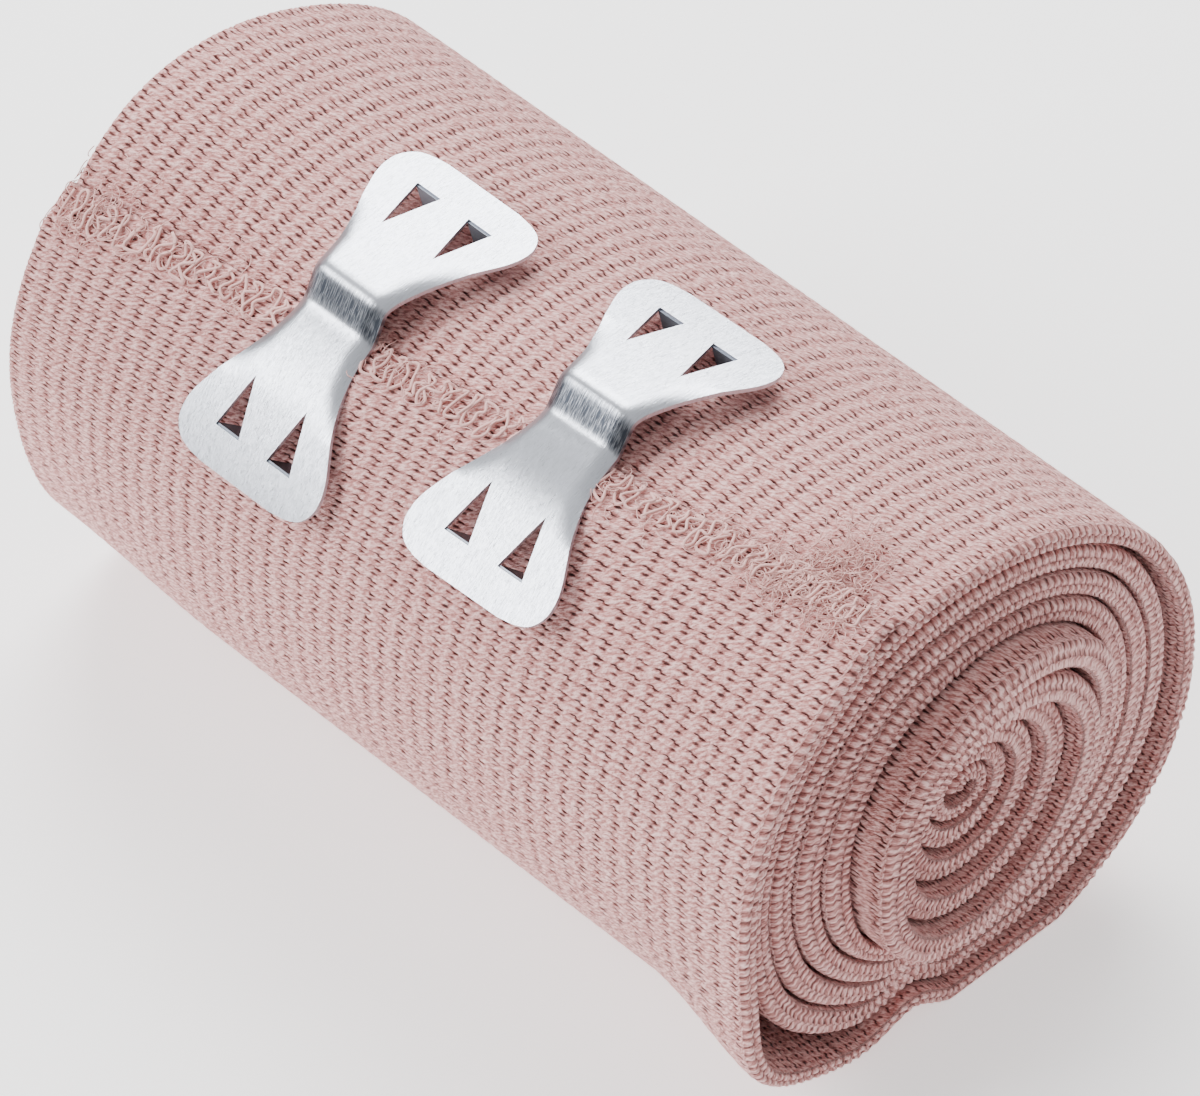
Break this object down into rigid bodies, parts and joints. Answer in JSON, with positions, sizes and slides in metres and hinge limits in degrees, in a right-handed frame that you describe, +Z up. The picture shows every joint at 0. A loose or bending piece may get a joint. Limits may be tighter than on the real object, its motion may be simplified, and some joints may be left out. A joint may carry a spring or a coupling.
{
  "type": "crepe bandage roll",
  "caption": "Elastic crepe bandage wound into a roll on its side, its loose end held over the front by stamped metal clips.",
  "frame": {"origin": "middle of the bounding box's base, on the floor the roll rests on", "axes": "+X along the roll's axis towards the opened end, +Z up, -Y towards the front, where the loose end and the clips lie"},
  "size_m": [0.1026, 0.0616, 0.0581],
  "materials": {
    "crepe": "matt elastic crepe weave",
    "clip_metal": "brushed"
  },
  "bodies": {
    "root": {"bandage": "crepe", "clip_far": "clip_metal", "clip_near": "clip_metal"}
  },
  "joints": []
}
